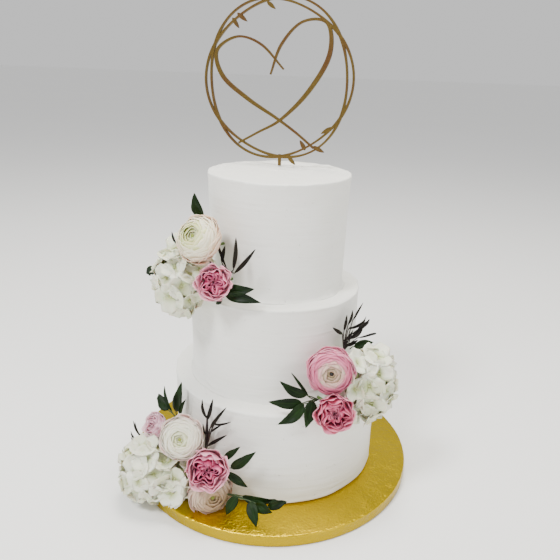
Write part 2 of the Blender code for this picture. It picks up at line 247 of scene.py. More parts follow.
def finish(piece, finish_material, slot, nodes=()):
    """Gives the piece its material, and says what it rides on and stands for."""
    piece.data.materials.clear()
    piece.data.materials.append(finish_material)
    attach(piece, "root")
    if nodes:
        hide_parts(*nodes)
    return piece


# ---------------------------------------------------------------- shader maths


class Value:
    """One shader socket, so that maths on sockets reads as Python."""

    def __init__(self, tree, socket):
        self.tree = tree
        self.socket = socket

    def maths(self, operation, a, b=None, clamp=False):
        node = self.tree.nodes.new("ShaderNodeMath")
        node.operation = operation
        node.use_clamp = clamp
        for slot, value in zip(node.inputs, (a, b)):
            if isinstance(value, Value):
                self.tree.links.new(value.socket, slot)
            elif value is not None:
                slot.default_value = value
        return Value(self.tree, node.outputs[0])

    def __add__(self, other):
        return self.maths("ADD", self, other)

    __radd__ = __add__

    def __mul__(self, other):
        return self.maths("MULTIPLY", self, other)

    __rmul__ = __mul__

    def __sub__(self, other):
        return self.maths("SUBTRACT", self, other)

    def __rsub__(self, other):
        return self.maths("SUBTRACT", other, self)

    def __pow__(self, other):
        return self.maths("POWER", self, other)

    def absolute(self):
        return self.maths("ABSOLUTE", self)

    def clamped(self):
        return self.maths("ADD", self, 0.0, clamp=True)


class Finish:
    """A material under construction: one Principled shader and the nodes that feed it."""

    def __init__(self, name, **constants):
        self.material = bpy.data.materials.new(name)
        self.material.use_nodes = True
        self.tree = self.material.node_tree
        self.shader = self.tree.nodes["Principled BSDF"]
        for key, value in constants.items():
            self.shader.inputs[key.replace("_", " ")].default_value = value

    def node(self, kind, settings=None, output=0, **sockets):
        """Adds a node: its settings first, then the values or links of its sockets."""
        made = self.tree.nodes.new(kind)
        for key, value in (settings or {}).items():
            if key == "stops":
                self.set_stops(made.color_ramp, value)
            else:
                setattr(made, key, value)
        for key, value in sockets.items():
            index = int(key[1:]) if key[0] == "i" and key[1:].isdigit() else key.replace("_", " ")
            if isinstance(value, Value):
                self.tree.links.new(value.socket, made.inputs[index])
            else:
                made.inputs[index].default_value = value
        return Value(self.tree, made.outputs[output])

    @staticmethod
    def set_stops(ramp, stops):
        while len(ramp.elements) < len(stops):
            ramp.elements.new(1.0)
        for element, (position, colour) in zip(ramp.elements, stops):
            element.position = position
            element.color = colour

    def feed(self, **inputs):
        for key, value in inputs.items():
            self.tree.links.new(value.socket, self.shader.inputs[key.replace("_", " ")])
        return self

    def position(self, scale=(1, 1, 1)):
        """Object coordinates, stretched by this scale."""
        coordinate = self.node("ShaderNodeTexCoord", output=3)
        return self.node("ShaderNodeMapping", Vector=coordinate, Scale=scale)

    def noise(self, scale, detail=3.0, stretch=(1, 1, 1), roughness=0.5):
        return self.node(
            "ShaderNodeTexNoise", Vector=self.position(stretch), Scale=scale, Detail=detail,
            Roughness=roughness,
        )

    def uv(self):
        """The (across, along) values of the piece's own UV map."""
        self.uv_map = self.node("ShaderNodeUVMap", {"uv_map": "UVMap"})
        across = self.node("ShaderNodeSeparateXYZ", Vector=self.uv_map)
        along = self.node("ShaderNodeSeparateXYZ", output=1, Vector=self.uv_map)
        return across, along

    def layer(self):
        return self.node("ShaderNodeAttribute", {"attribute_name": "layer"}, output=2)

    def mix(self, factor, first, second):
        """A colour between first and second."""
        return self.node(
            "ShaderNodeMix", {"data_type": "RGBA"}, output=2, i0=factor, i6=first, i7=second
        )

    def ramp(self, value, stops):
        return self.node("ShaderNodeValToRGB", {"stops": stops}, Fac=value)

    def bump(self, height, distance, strength=1.0):
        made = self.node("ShaderNodeBump", Height=height, Distance=distance, Strength=strength)
        return self.feed(Normal=made)


def tint(red, green, blue):
    """A linear colour from the 0 to 255 values that a colour picker shows."""
    def linear(value):
        value /= 255
        return value / 12.92 if value <= 0.04045 else ((value + 0.055) / 1.055) ** 2.4
    return (linear(red), linear(green), linear(blue), 1.0)


def icing_finish(looks):
    """Scraped buttercream: long drag lines, pits, air holes darkened with painted shade, and a soft
    sheen.
    """
    made = Finish("buttercream", Roughness=0.55, IOR=1.45)
    colour = tuple(looks.icing_colour) + (1.0,)
    shade = tuple(c * s for c, s in zip(colour, (0.9, 0.885, 0.84))) + (1.0,)
    cloud = made.noise(14.0, 4.0)
    drag = made.noise(16.0, 5.0, (1, 1, 11))
    streak = ((drag - 0.42) * 2.6).clamped()
    pits = made.noise(300.0, 2.0)
    pinholes = ((pits - 0.7) * 12.0).clamped()
    soft = made.mix((cloud * 1.6 - 0.5).clamped() * 0.55 + streak * 0.2, colour, shade)
    # Painted shade: besides their dent in the bump, the air holes are darkened in colour towards a
    # darker icing tone.
    made.feed(Base_Color=made.mix(pinholes * 0.5, soft, tuple(c * 0.6 for c in shade[:3]) + (1.0,)))
    grain = made.noise(900.0, 2.0)
    made.feed(Roughness=(0.48 + cloud * 0.18).clamped())
    made.bump(drag + cloud * 0.6 + grain * 0.04 - pinholes * 0.7, 0.0011, 0.75)
    return made.material


def foil_finish(looks):
    """Embossed gold foil: a pebbled relief, wrinkles, olive patches and a folded side darkened with
    painted shade.
    """
    made = Finish("gold_foil", Metallic=1.0, Roughness=0.3)
    colour = tuple(looks.foil_colour) + (1.0,)
    deep = tuple(c * s for c, s in zip(colour, (0.72, 0.72, 0.6))) + (1.0,)
    # Painted shade: the drum's side, below the board's top, is given a darker colour than the face.
    side_shade_colour = tuple(c * s for c, s in zip(colour, (0.5, 0.5, 0.45))) + (1.0,)
    cloud = made.noise(7.0, 4.0)
    height = made.node("ShaderNodeSeparateXYZ", output=2, Vector=made.position())
    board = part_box("cake_drum")[1][2]
    side = ((board - 0.001 - height) * 1200.0).clamped()
    face = made.mix((cloud * 2.4 - 0.7).clamped(), colour, deep)
    made.feed(Base_Color=made.mix(side * 0.85, face, side_shade_colour))
    pebbles = made.node(
        "ShaderNodeTexVoronoi", {"feature": "SMOOTH_F1"}, Vector=made.position(), Scale=420.0
    )
    wrinkles = made.noise(30.0, 6.0, roughness=0.6)
    made.feed(Roughness=(0.2 + cloud * 0.22).clamped())
    made.bump(pebbles * 0.5 + wrinkles * 2.6, 0.0016, 0.7)
    return made.material


def topper_finish(looks):
    """Laser-cut board with a bronze skin and redder stretches."""
    made = Finish("bronze_board", Metallic=0.55, Roughness=0.38)
    colour = tuple(looks.topper_colour) + (1.0,)
    patch = made.noise(22.0, 3.0)
    speck = made.noise(300.0, 2.0)
    reddish = made.mix((patch * 5.0 - 2.3).clamped() * 0.75, colour, tint(84, 50, 20))
    made.feed(Base_Color=made.mix((speck * 3.0 - 1.6).clamped() * 0.35, reddish, tint(140, 112, 48)))
    made.feed(Roughness=(0.3 + patch * 0.3).clamped())
    made.bump(speck, 0.0002, 0.4)
    return made.material


def petal_finish(name, layers, rim, rim_share=0.5, vein=0.35):
    """Petal flesh coloured by layer, from the flower's heart out, with painted shade towards each
    petal's base, and rims and veins.
    """
    made = Finish(
        name, Roughness=0.6, Subsurface_Weight=0.08, Subsurface_Scale=0.003,
        Specular_IOR_Level=0.3,
    )
    _, along = made.uv()
    layer = made.layer()
    body = made.ramp(layer, [(stop, tint(*colour)) for stop, colour in layers])
    blotch = made.noise(90.0, 3.0)
    # Painted shade: towards each petal's base, and more in the inner layers, the colour is multiplied by
    # the heart's colour. This is partly the petal's own deeper base and partly shade where the petals
    # nest.
    deep = made.node(
        "ShaderNodeMix", {"data_type": "RGBA", "blend_type": "MULTIPLY"}, output=2,
        i0=(1 - along) * (1.1 - layer) * 0.5, i6=body, i7=tint(*layers[0][1]),
    )
    edge = along ** 6.0
    # Each petal's edge takes the rim colour. The pink ranunculus's darker rim is partly painted shade:
    # the dark lines between its rings.
    rimmed = made.mix((edge * rim_share + (blotch - 0.5) * 0.2).clamped(), deep, tint(*rim))
    made.feed(Base_Color=rimmed)
    veins = made.node(
        "ShaderNodeTexNoise", Scale=1.0, Detail=2.0,
        Vector=made.node("ShaderNodeMapping", Vector=made.uv_map, Scale=(26, 2.2, 1)),
    )
    made.feed(Roughness=(0.5 + blotch * 0.15).clamped())
    made.bump(veins, 0.0005, vein)
    return made.material


def hydrangea_finish():
    """Creamy hydrangea petals with greenish hearts and soft veins."""
    made = Finish(
        "hydrangea_petal", Roughness=0.6, Subsurface_Weight=0.08, Subsurface_Scale=0.003,
        Specular_IOR_Level=0.3,
    )
    _, along = made.uv()
    heart = (1.0 - along * 2.2).clamped()
    blotch = made.noise(45.0, 3.0)
    white = made.mix((blotch * 2.4 - 0.8).clamped(), tint(233, 231, 216), tint(208, 212, 180))
    made.feed(Base_Color=made.mix(heart * 0.85, white, tint(160, 172, 96)))
    veins = made.node(
        "ShaderNodeTexNoise", Scale=1.0, Detail=2.0,
        Vector=made.node("ShaderNodeMapping", Vector=made.uv_map, Scale=(14, 1.5, 1)),
    )
    made.feed(Roughness=(0.5 + blotch * 0.12).clamped())
    made.bump(veins, 0.0008, 0.6)
    return made.material


def leaf_finish(name, dark, light, roughness):
    """Waxy leaf: long fine veins, a paler midrib and cloudy green."""
    made = Finish(name, Roughness=roughness, Specular_IOR_Level=0.15)
    across, _ = made.uv()
    off_rib = (across - 0.5).absolute()
    rib = (1.0 - off_rib * 16.0).clamped()
    veins = made.node(
        "ShaderNodeTexNoise", Scale=1.0, Detail=2.0,
        Vector=made.node("ShaderNodeMapping", Vector=made.uv_map, Scale=(30, 1.6, 1)),
    )
    cloud = made.noise(60.0, 3.0)
    body = made.mix((cloud * 2.2 - 0.6).clamped(), dark, light)
    made.feed(Base_Color=made.mix(rib * 0.45, body, tuple(c * 1.9 for c in light[:3]) + (1.0,)))
    made.feed(Roughness=(roughness - 0.08 + cloud * 0.2).clamped())
    made.bump(veins + rib * 0.8, 0.0004, 0.6)
    return made.material


def stem_finish(name, colour):
    made = Finish(name, Roughness=0.5)
    streak = made.noise(120.0, 3.0, (1, 1, 0.2))
    darker = tuple(c * 0.55 for c in colour[:3]) + (1.0,)
    made.feed(Base_Color=made.mix(streak, colour, darker))
    made.bump(streak, 0.0003, 0.4)
    return made.material


# ---------------------------------------------------------------- cake: drum, tiers


def quarter(centre_radius, centre_height, size, start, end, steps):
    angles = [math.radians(start + (end - start) * i / steps) for i in range(steps + 1)]
    return [
        (centre_radius + size * math.cos(a), centre_height + size * math.sin(a)) for a in angles
    ]


def spaced(start, end, steps):
    """Points strictly between two profile points."""
    return [
        (start[0] + (end[0] - start[0]) * i / steps, start[1] + (end[1] - start[1]) * i / steps)
        for i in range(1, steps)
    ]


def iced_tier(node, looks, seed, smear, flare):
    """One tier's icing over the CAD tier. Its foot flares on to the ledge below, or rounds in."""
    low, high = (Vector(corner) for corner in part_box(node))
    centre = (low + high) / 2
    outer = (high.x - low.x) / 2
    height = high.z - low.z
    foot_radius = measured_radius(node, centre, low.z + height * 0.1)
    top_radius = measured_radius(node, centre, high.z - height * 0.05)
    edge = looks.icing_edge * MM
    sunk = -1.4 * MM if flare else -0.5 * MM
    corner = quarter(top_radius - edge, height - edge - 0.8 * MM, edge, 90, 0, 7)
    profile = [(0.0, height - 0.5 * MM)]
    profile += spaced(profile[0], corner[0], 26) + corner
    if flare:
        foot = [(foot_radius + flare * MM * t ** 3, (4.0 - 5.4 * t) * MM) for t in (0, 0.3, 0.6, 0.8, 1)]
    else:
        foot = quarter(foot_radius - 3.0 * MM, 3.0 * MM, 3.0 * MM, 0, -75, 4)
        foot.append((foot_radius - 3.2 * MM, sunk))
    profile += spaced(corner[-1], foot[0], 70) + foot
    profile += spaced(foot[-1], (0.0, sunk), 4) + [(0.0, sunk)]
    piece = turned(node + "_icing", profile, 260)
    points = scraped(coordinates(piece), outer, height, seed, smear)
    set_coordinates(piece, points + np.array([centre.x, centre.y, low.z]))
    return smooth(piece)


def measured_radius(node, centre, height):
    """The CAD node's radius nearest this height."""
    mesh = NODES[node].data
    points = np.empty(len(mesh.vertices) * 3)
    mesh.vertices.foreach_get("co", points)
    points = points.reshape(-1, 3)
    near = np.abs(points[:, 2] - height) <= np.abs(points[:, 2] - height).min() + 0.0001
    return float(np.hypot(points[near, 0] - centre.x, points[near, 1] - centre.y).max())


def scraped(points, outer, height, seed, smear):
    """Moves a tier's surface as a palette knife leaves it."""
    radius = np.hypot(points[:, 0], points[:, 1])
    turn = np.arctan2(points[:, 1], points[:, 0])
    around = np.stack([np.cos(turn), np.sin(turn), np.zeros(len(turn))], axis=1)
    level = np.outer(points[:, 2], (0, 0, 1.0))
    side = smooth_step(0.9, 0.985, radius / outer) * smooth_step(0.0, 0.004, points[:, 2])
    swell = wave_noise(points, 14.0, seed)
    bands = wave_noise(around * 0.9 + level * 55, 1.0, seed + 5)
    lines = wave_noise(around * 2.2 + level * 260, 1.0, seed + 9)
    reach = (0.9 * swell + 0.34 * bands + 0.1 * lines) * MM * side
    lip = np.exp(-(((height - points[:, 2]) - 2.2 * MM) / (2.0 * MM)) ** 2)
    ragged = wave_noise(around, 5.0, seed + 2) + 0.6 * wave_noise(around, 16.0, seed + 13)
    reach += lip * side * (0.5 + 1.2 * ragged) * MM
    foot = np.exp(-(points[:, 2] / (6.0 * MM)) ** 2)
    foot_wave = np.clip(0.6 + 0.8 * wave_noise(around, 5.0, seed + 3), 0, 1.4)
    reach += foot * smooth_step(0.9, 0.985, radius / outer) * foot_wave * smear * MM
    for rise, seed_step, share in ((7, 6, 0.8), (12, 16, 0.6), (19, 26, 0.4)):
        ridge_height = (rise + 7 * wave_noise(around, 1.6, seed + seed_step)) * MM
        ridge = np.exp(-((points[:, 2] - ridge_height) / (1.1 * MM)) ** 2)
        gate = np.clip(wave_noise(around, 3.0, seed + seed_step + 2) + 0.1, 0, 1)
        reach += ridge * side * gate * smear * share * MM
    top = smooth_step(height - 3 * MM, height - 1.5 * MM, points[:, 2])
    strokes = wave_noise(np.stack([turn * 1.6, radius * 170, radius * 0], axis=1), 1.0, seed + 4)
    rise = 0.8 * strokes * smooth_step(0.2, 0.5, radius / outer)
    rise += 0.7 * wave_noise(points, 24.0, seed + 7)
    moved_points = points + around * reach[:, None]
    moved_points[:, 2] += top * (rise + 1.1 * lip * ragged) * MM
    return moved_points


def foil_drum(looks):
    """The cake drum: a flat embossed top, a soft rim and a side with foil folds."""
    low, high = (Vector(corner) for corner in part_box("cake_drum"))
    radius = (high.x - low.x) / 2
    edge = 1.7 * MM
    upper = quarter(radius - edge, high.z - edge, edge, 90, 0, 6)
    lower = quarter(radius - edge, edge, edge, 0, -90, 5)
    profile = [(0.0, high.z)]
    profile += spaced(profile[0], upper[0], 30) + upper
    profile += spaced(upper[-1], lower[0], 8) + lower
    profile += spaced(lower[-1], (0.0, 0.0), 5) + [(0.0, 0.0)]
    piece = turned("foil_drum", profile, 420)
    points = coordinates(piece)
    turn = np.arctan2(points[:, 1], points[:, 0])
    out = np.hypot(points[:, 0], points[:, 1])
    rim = smooth_step(0.955, 0.995, out / radius)
    fold = np.zeros(len(turn))
    draw = random.Random(looks.foil_seed)
    angle = 0.0
    while angle < math.tau:
        lean = draw.uniform(-0.03, 0.03)
        near = (turn - angle - lean * points[:, 2] / high.z + math.pi) % math.tau - math.pi
        fold += draw.uniform(0.3, 1.0) * np.exp(-np.abs(near) * draw.uniform(70, 160))
        angle += draw.uniform(0.05, 0.22)
    dent = wave_noise(points, 45.0, 3.0) * 0.5 + wave_noise(points, 120.0, 4.0) * 0.25
    shrink = rim * (0.5 * np.clip(fold, 0, 1.4) + 0.25 * (dent + 0.7)) * MM
    around = np.stack([np.cos(turn), np.sin(turn), turn * 0], axis=1)
    points -= around * shrink[:, None]
    upper_face = smooth_step(high.z - 2.5 * MM, high.z - 0.4 * MM, points[:, 2])
    sag = 0.12 * (wave_noise(points, 30.0, 8.0) + 1) + 0.35 * rim * np.clip(fold, 0, 1)
    points[:, 2] -= upper_face * sag * MM
    set_coordinates(piece, points)
    return smooth(piece, 50)


# ---------------------------------------------------------------- topper

TOPPER_THICKNESS = 3.0
HOOP_RADIUS = 86.8
HOOP_WAVE = 3.7
HOOP_CROSSING = math.radians(34.0)
# The hoop's centre, in mm.
TOPPER_PLACE = (-17.8, 31.0, 477.6)
# Pen strokes of the heart: (across, up, width) in mm from the hoop's centre.
HEART_STROKES = (
    (
        (-47, -74, 2.4), (-22, -60, 2.6), (6, -44, 3.4), (38, -12, 5.0), (61, 28, 5.2),
        (57, 61, 3.6), (28, 62, 2.6), (4, 38, 3.0), (-8, 6, 1.6),
    ),
    (
        (48, -74, 2.2), (26, -58, 2.4), (0, -42, 3.0), (-36, -22, 4.4), (-68, 2, 4.8),
        (-76, 30, 3.6), (-50, 46, 2.6), (-20, 38, 2.6), (8, 12, 1.6),
    ),
)
# Each small leaf: where it joins the hoop, its tip, and its width.
TOPPER_LEAVES = (
    ((-50, 71), (-38, 62), 4.4),
    ((-56, 66), (-48, 55), 4.0),
    ((-14, 83), (-4, 75), 4.0),
    ((69, -49), (56, -57), 4.6),
    ((38, -77), (31, -66), 4.4),
    ((47, -72), (61, -78), 4.6),
    ((17, -86), (26, -95), 4.0),
)
STAKE_X = 6.3
STAKE_WIDTH = 3.4


def curve_path(points, steps):
    """Catmull-Rom points through the given ones."""
    vectors = [Vector(point) for point in points]
    padded = [2 * vectors[0] - vectors[1], *vectors, 2 * vectors[-1] - vectors[-2]]
    path = []
    for a, b, c, d in zip(padded, padded[1:], padded[2:], padded[3:]):
        for i in range(steps):
            t = i / steps
            bend = (2 * a - 5 * b + 4 * c - d) * t * t + (3 * b - a - 3 * c + d) * t ** 3
            path.append(0.5 * (2 * b + (c - a) * t + bend))
    return path + [vectors[-1]]


def stroke_outline(points):
    path = curve_path(points, 12)
    left, right = [], []
    for i, point in enumerate(path):
        along = (path[min(i + 1, len(path) - 1)] - path[max(i - 1, 0)]).to_2d().normalized()
        side = Vector((-along.y, along.x)) * point.z / 2
        left.append(point.to_2d() + side)
        right.append(point.to_2d() - side)
    return left + right[::-1]


def hoop_outlines(wave, width):
    """A hoop's two edges: it swells where it crosses the other hoop, as if drawn by hand."""
    outlines = []
    for side in (0.5, -0.5):
        outline = []
        for i in range(240):
            turn = math.tau * i / 240
            swing = 3 * (turn - HOOP_CROSSING)
            line = width * (0.78 + 0.34 * math.cos(swing) ** 4)
            reach = HOOP_RADIUS + wave * math.sin(swing) + side * line
            outline.append(Vector((math.cos(turn), math.sin(turn))) * reach)
        outlines.append(outline)
    return outlines


def leaf_outline(base, tip, width):
    """A pointed, slightly bellied leaf from base to tip."""
    base, tip = Vector(base), Vector(tip)
    along = tip - base
    side = Vector((-along.y, along.x)).normalized() * width / 2
    left, right = [], []
    for i in range(13):
        t = i / 12
        belly = math.sin(math.pi * t ** 0.85) ** 0.8 * (1 - 0.12 * t) + 0.14 * (1 - t)
        left.append(base + along * t + side * belly)
        right.append(base + along * t - side * belly)
    return left + right[-2:0:-1]


def cut_plate(outlines, thickness, centre):
    """A plate cut from flat outlines, standing in the topper's plane."""
    curve = bpy.data.curves.new("plate", "CURVE")
    curve.dimensions = "2D"
    curve.fill_mode = "BOTH"
    curve.extrude = thickness / 2 * MM
    for outline in outlines:
        spline = curve.splines.new("POLY")
        spline.points.add(len(outline) - 1)
        for point, corner in zip(spline.points, outline):
            point.co = (corner.x * MM, corner.y * MM, 0, 1)
        spline.use_cyclic_u = True
    plate = bpy.data.objects.new("plate", curve)
    bpy.context.scene.collection.objects.link(plate)
    select_only([plate])
    bpy.ops.object.convert(target="MESH")
    plate = bpy.context.active_object
    upright = Matrix.Translation(centre) @ Matrix.Rotation(math.pi / 2, 4, "X")
    plate.data.transform(upright)
    return closed(plate, 0.000005)


def hoop_topper(looks):
    """The whole topper as one plate, as it is cut."""
    low = Vector(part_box("topper")[0])
    centre = Vector(TOPPER_PLACE) * MM
    drop = (low.z - centre.z) / MM
    stake = [
        Vector((STAKE_X + side * STAKE_WIDTH / 2, height))
        for side, height in ((-1, -84), (-1, drop), (1, drop), (1, -84))
    ]
    outlines = [hoop_outlines(wave, looks.hoop_width) for wave in (HOOP_WAVE, -HOOP_WAVE)]
    outlines += [[stroke_outline(points)] for points in HEART_STROKES]
    outlines += [[leaf_outline(*leaf)] for leaf in TOPPER_LEAVES] + [[stake]]
    plates = [
        cut_plate(outline, TOPPER_THICKNESS - 0.04 * i, centre) for i, outline in enumerate(outlines)
    ]
    first = plates[0]
    for plate in plates[1:]:
        applied(first, "BOOLEAN", operation="UNION", object=plate, solver="MANIFOLD")
        bpy.data.objects.remove(plate)
    first.name = first.data.name = "hoop_topper"
    return smooth(first, 30)


# ---------------------------------------------------------------- flowers

# The blooms: their CAD node, kind, colouring, growth over the CAD bloom, shift sideways and up in
# mm, and the azimuth and rise that they look to.
BLOOMS = (
    ("ranunculus_white_upper", "ranunculus", "cream", 1.06, (0, 0), -103, 31),
    ("rose_pink_upper", "rose", "rose", 0.88, (3, 0), -72, 20),
    ("ranunculus_pink", "ranunculus", "pink", 0.97, (-2, 0), -72, 11),
    ("rose_pink_middle", "rose", "deep_rose", 0.88, (-6, 0), -70, 10),
    ("ranunculus_white_lower", "ranunculus", "cream_green", 1.03, (0, 0), -74, 25),
    ("rose_pink_lower", "rose", "rose", 0.92, (0, 3), -69, 17),
    ("ranunculus_blush", "ranunculus", "blush", 1.16, (1, -3), -48, 4),
    ("rose_pale_back", "rose", "pale", 1.05, (-1, 0), -112, 30),
)
PETAL_COLUMNS = 10
PETAL_ROWS = 12


def bloom_frame(node, facing):
    """The CAD bloom's centre and radius, measured along and across the way that it faces."""
    mesh = NODES[node].data
    points = np.empty(len(mesh.vertices) * 3)
    mesh.vertices.foreach_get("co", points)
    points = points.reshape(-1, 3)
    turn = np.array(facing.to_track_quat("Z", "Y").to_matrix())
    local = points @ turn
    front = local[:, 2].max()
    upper = local[local[:, 2] > front - (np.ptp(local[:, 0]) * 0.5)]
    low, high = upper.min(axis=0), upper.max(axis=0)
    radius = float(max(high[0] - low[0], high[1] - low[1])) / 2
    middle = np.array([(low[0] + high[0]) / 2, (low[1] + high[1]) / 2, front - 0.68 * radius])
    return Vector(turn @ middle), radius


def petal_points(flat, radius, turn, spec):
    """A petal wrapped on a bowl. spec gives the rim's and the base's polar angle, and its form."""
    u = flat[:, 0]
    v = (flat[:, 1] + 1) / 2
    half = spec["half"] * (0.5 + 0.5 * np.sin(math.pi * np.clip(0.08 + 0.62 * v, 0, 1)) ** 0.8)
    around = turn + u * half
    rim = spec["rim"] + spec["droop"] * np.abs(u) ** 3
    rim = rim + spec["notch"] * np.cos(u * 7.0 + spec["phase"])
    polar = spec["base"] + (rim - spec["base"]) * v
    reach = 1 + spec["pinwheel"] * u + spec["curl"] * v ** 5
    reach = reach + spec["tip"] * v ** 4 * np.exp(-((u / 0.4) ** 2))
    reach = reach + spec["ruffle"] * np.sin(u * spec["waves"] + spec["phase"]) * v ** 3
    reach = reach + spec["fold"] * np.cos(5 * around + spec["star"]) * v ** 2
    return radius * np.stack(
        [
            reach * np.sin(polar) * np.cos(around),
            reach * np.sin(polar) * np.sin(around),
            reach * np.cos(polar) * spec["flat"],
        ],
        axis=1,
    )


def ranunculus_petals(radius, draw):
    """(bowl radius, turn, spec, layer) for each petal, from the sunken heart outwards."""
    whorls = 11
    for whorl in range(whorls + 1):
        loose = whorl == whorls
        share = min(whorl / (whorls - 1), 1.0)
        rim = math.radians(84 if loose else 7 + 69 * share ** 1.15)
        start = draw.uniform(0, math.tau)
        count = 5 if whorl < whorls - 2 or loose else 6
        for i in range(count):
            turn = start + math.tau * (i + draw.uniform(-0.1, 0.1)) / count
            spec = {
                "half": math.pi / count * (1.45 + 0.2 * draw.random()),
                "rim": rim + math.radians(draw.uniform(-2.5, 2.5) * (2.5 if loose else 1)),
                "base": min(rim + math.radians(70), math.radians(158)),
                "droop": math.radians(5 + 16 * share),
                "notch": math.radians(0.4 + 2.2 * share ** 2),
                "pinwheel": 0.02,
                "curl": 0.12 if loose else 0.03 + 0.04 * share,
                "tip": 0.0,
                "ruffle": 0.06 if loose else 0.008 + 0.045 * share ** 2,
                "waves": draw.uniform(3, 6),
                "phase": draw.uniform(0, math.tau),
                "fold": 0.0,
                "star": 0.0,
                "flat": 0.8,
            }
            reach = 0.62 + 0.22 * min(share / 0.3, 1.0) + 0.14 * share
            yield radius * reach, turn, spec, share


def rose_petals(radius, draw):
    """Broad outer petals that open and curl, round a quartered heart of folded ones."""
    twist = draw.uniform(0, math.tau)
    for share in (0.0, 0.2, 0.38, 0.56, 0.72, 0.86, 1.0):
        outside = float(smooth_step(0.5, 0.9, share))
        start = draw.uniform(0, math.tau)
        count = 3 if share < 0.3 else 5
        for i in range(count):
            turn = start + math.tau * (i + draw.uniform(-0.2, 0.2)) / count
            spec = {
                "half": math.pi / count * (1.1 + 0.35 * draw.random()),
                "rim": math.radians(16 + 50 * share + draw.uniform(-8, 8)),
                "base": math.radians(115 + 40 * share),
                "droop": math.radians(8 + 18 * outside),
                "notch": math.radians(3.0 + 2.5 * outside),
                "pinwheel": 0.05,
                "curl": 0.05 + 0.15 * outside,
                "tip": 0.2 * outside,
                "ruffle": 0.09 - 0.03 * outside,
                "waves": draw.uniform(2.5, 5),
                "phase": draw.uniform(0, math.tau),
                "fold": 0.46 * (1 - outside) * (0.5 + 0.9 * draw.random()),
                "star": twist + share * 1.6,
                "flat": 0.8,
            }
            yield radius * (0.28 + 0.64 * share ** 0.9), turn, spec, share


def bloom(node, kind, growth, shift, facing, looks, seed):
    """A whole flower from thin petals, wrapped on bowls one inside the other."""
    draw = random.Random(seed)
    centre, radius = bloom_frame(node, facing)
    radius *= growth
    sideways = Vector((0, 0, 1)).cross(facing).normalized()
    centre = centre + sideways * shift[0] * MM + Vector((0, 0, shift[1] * MM))
    matrix = turned_to(centre, facing, draw.uniform(0, math.tau))
    seedling = grid_piece("petal", PETAL_COLUMNS, PETAL_ROWS)
    flat = coordinates(seedling)
    petals = []
    rule = ranunculus_petals if kind == "ranunculus" else rose_petals
    for reach, turn, spec, layer in rule(radius, draw):
        petal = copy_of(seedling, "petal")
        set_coordinates(petal, moved(petal_points(flat, reach, turn, spec), matrix))
        set_layer(petal, layer)
        petals.append(petal)
    bpy.data.objects.remove(seedling)
    flower = joined(node + "_petals", petals)
    applied(flower, "SOLIDIFY", thickness=looks.petal_thickness * MM, offset=0.0)
    return smooth(flower), centre, radius, matrix


def heart_button(name, radius, matrix, seed, size=(0.13, 0.13, 0.12), rise=0.42):
    """A ranunculus's small domed heart, or a rose's wide core, as shares of the bloom's radius."""
    deselect()
    bpy.ops.mesh.primitive_uv_sphere_add(segments=24, ring_count=14, radius=1)
    button = bpy.context.active_object
    points = coordinates(button)
    lumps = 1 + 0.18 * wave_noise(points, 3.2, seed)
    points = points * lumps[:, None] * np.array(size) * radius
    points[:, 2] += rise * radius
    set_coordinates(button, moved(points, matrix))
    button.name = button.data.name = name
    return smooth(button)


def sepals_and_stalk(name, centre, radius, matrix, facing):
    """Green sepals behind the bloom and a stalk that runs into the cake."""
    seedling = grid_piece("sepal", 6, 8)
    flat = coordinates(seedling)
    sepals = []
    for i in range(5):
        spec = {
            "half": 0.5, "rim": math.radians(126), "base": math.radians(176), "droop": 0.5,
            "notch": 0.0, "pinwheel": 0.0, "curl": 0.03, "tip": 0.0, "ruffle": 0.01, "waves": 3.0,
            "phase": i * 1.3, "fold": 0.0, "star": 0.0, "flat": 0.8,
        }
        sepal = copy_of(seedling, "sepal")
        set_coordinates(sepal, moved(petal_points(flat, radius * 0.84, math.tau * i / 5, spec), matrix))
        sepals.append(sepal)
    bpy.data.objects.remove(seedling)
    piece = joined(name, sepals)
    applied(piece, "SOLIDIFY", thickness=0.5 * MM, offset=0.0)
    inward = Vector((-centre.x, -centre.y, 0)).normalized()
    back = centre - facing * radius * 0.6
    depth = Vector((centre.x, centre.y)).length
    end = back + inward * max(0.012, depth * 0.25) - Vector((0, 0, 0.004))
    stalk = tube("stalk", [back, back - facing * radius * 0.3, end], 1.6 * MM)
    return smooth(joined(name, [piece, stalk]), 40)


def tube(name, route, radius, sides=4, taper=1.0):
    """A solid stem through these points."""
    curve = bpy.data.curves.new(name, "CURVE")
    curve.dimensions = "3D"
    curve.bevel_depth = radius
    curve.bevel_resolution = sides // 2
    curve.use_fill_caps = True
    path = curve_path(route, 5)
    spline = curve.splines.new("POLY")
    spline.points.add(len(path) - 1)
    for i, (point, corner) in enumerate(zip(spline.points, path)):
        point.co = (*corner, 1)
        point.radius = 1 + (taper - 1) * i / (len(path) - 1)
    stem = bpy.data.objects.new(name, curve)
    bpy.context.scene.collection.objects.link(stem)
    select_only([stem])
    bpy.ops.object.convert(target="MESH")
    return closed(bpy.context.active_object, 0.000005)


# The hydrangea heads: their CAD node, a seed, and how many florets stand on the head itself.
# Each spill is more florets behind the blooms: its centre, half sizes in mm, and their number.
HYDRANGEAS = (
    (
        "hydrangea_upper", 11, 26,
        (((-119, 112, 284), (13, 18, 20), 8), ((-128, 122, 292), (13, 15, 15), 7)),
    ),
    ("hydrangea_middle", 12, 30, (((-30, 134, 156), (15, 18, 42), 13),)),
    (
        "hydrangea_lower", 13, 40,
        (((-113, 160, 44), (20, 24, 26), 12), ((-112, 169, 36), (13, 18, 14), 8)),
    ),
)


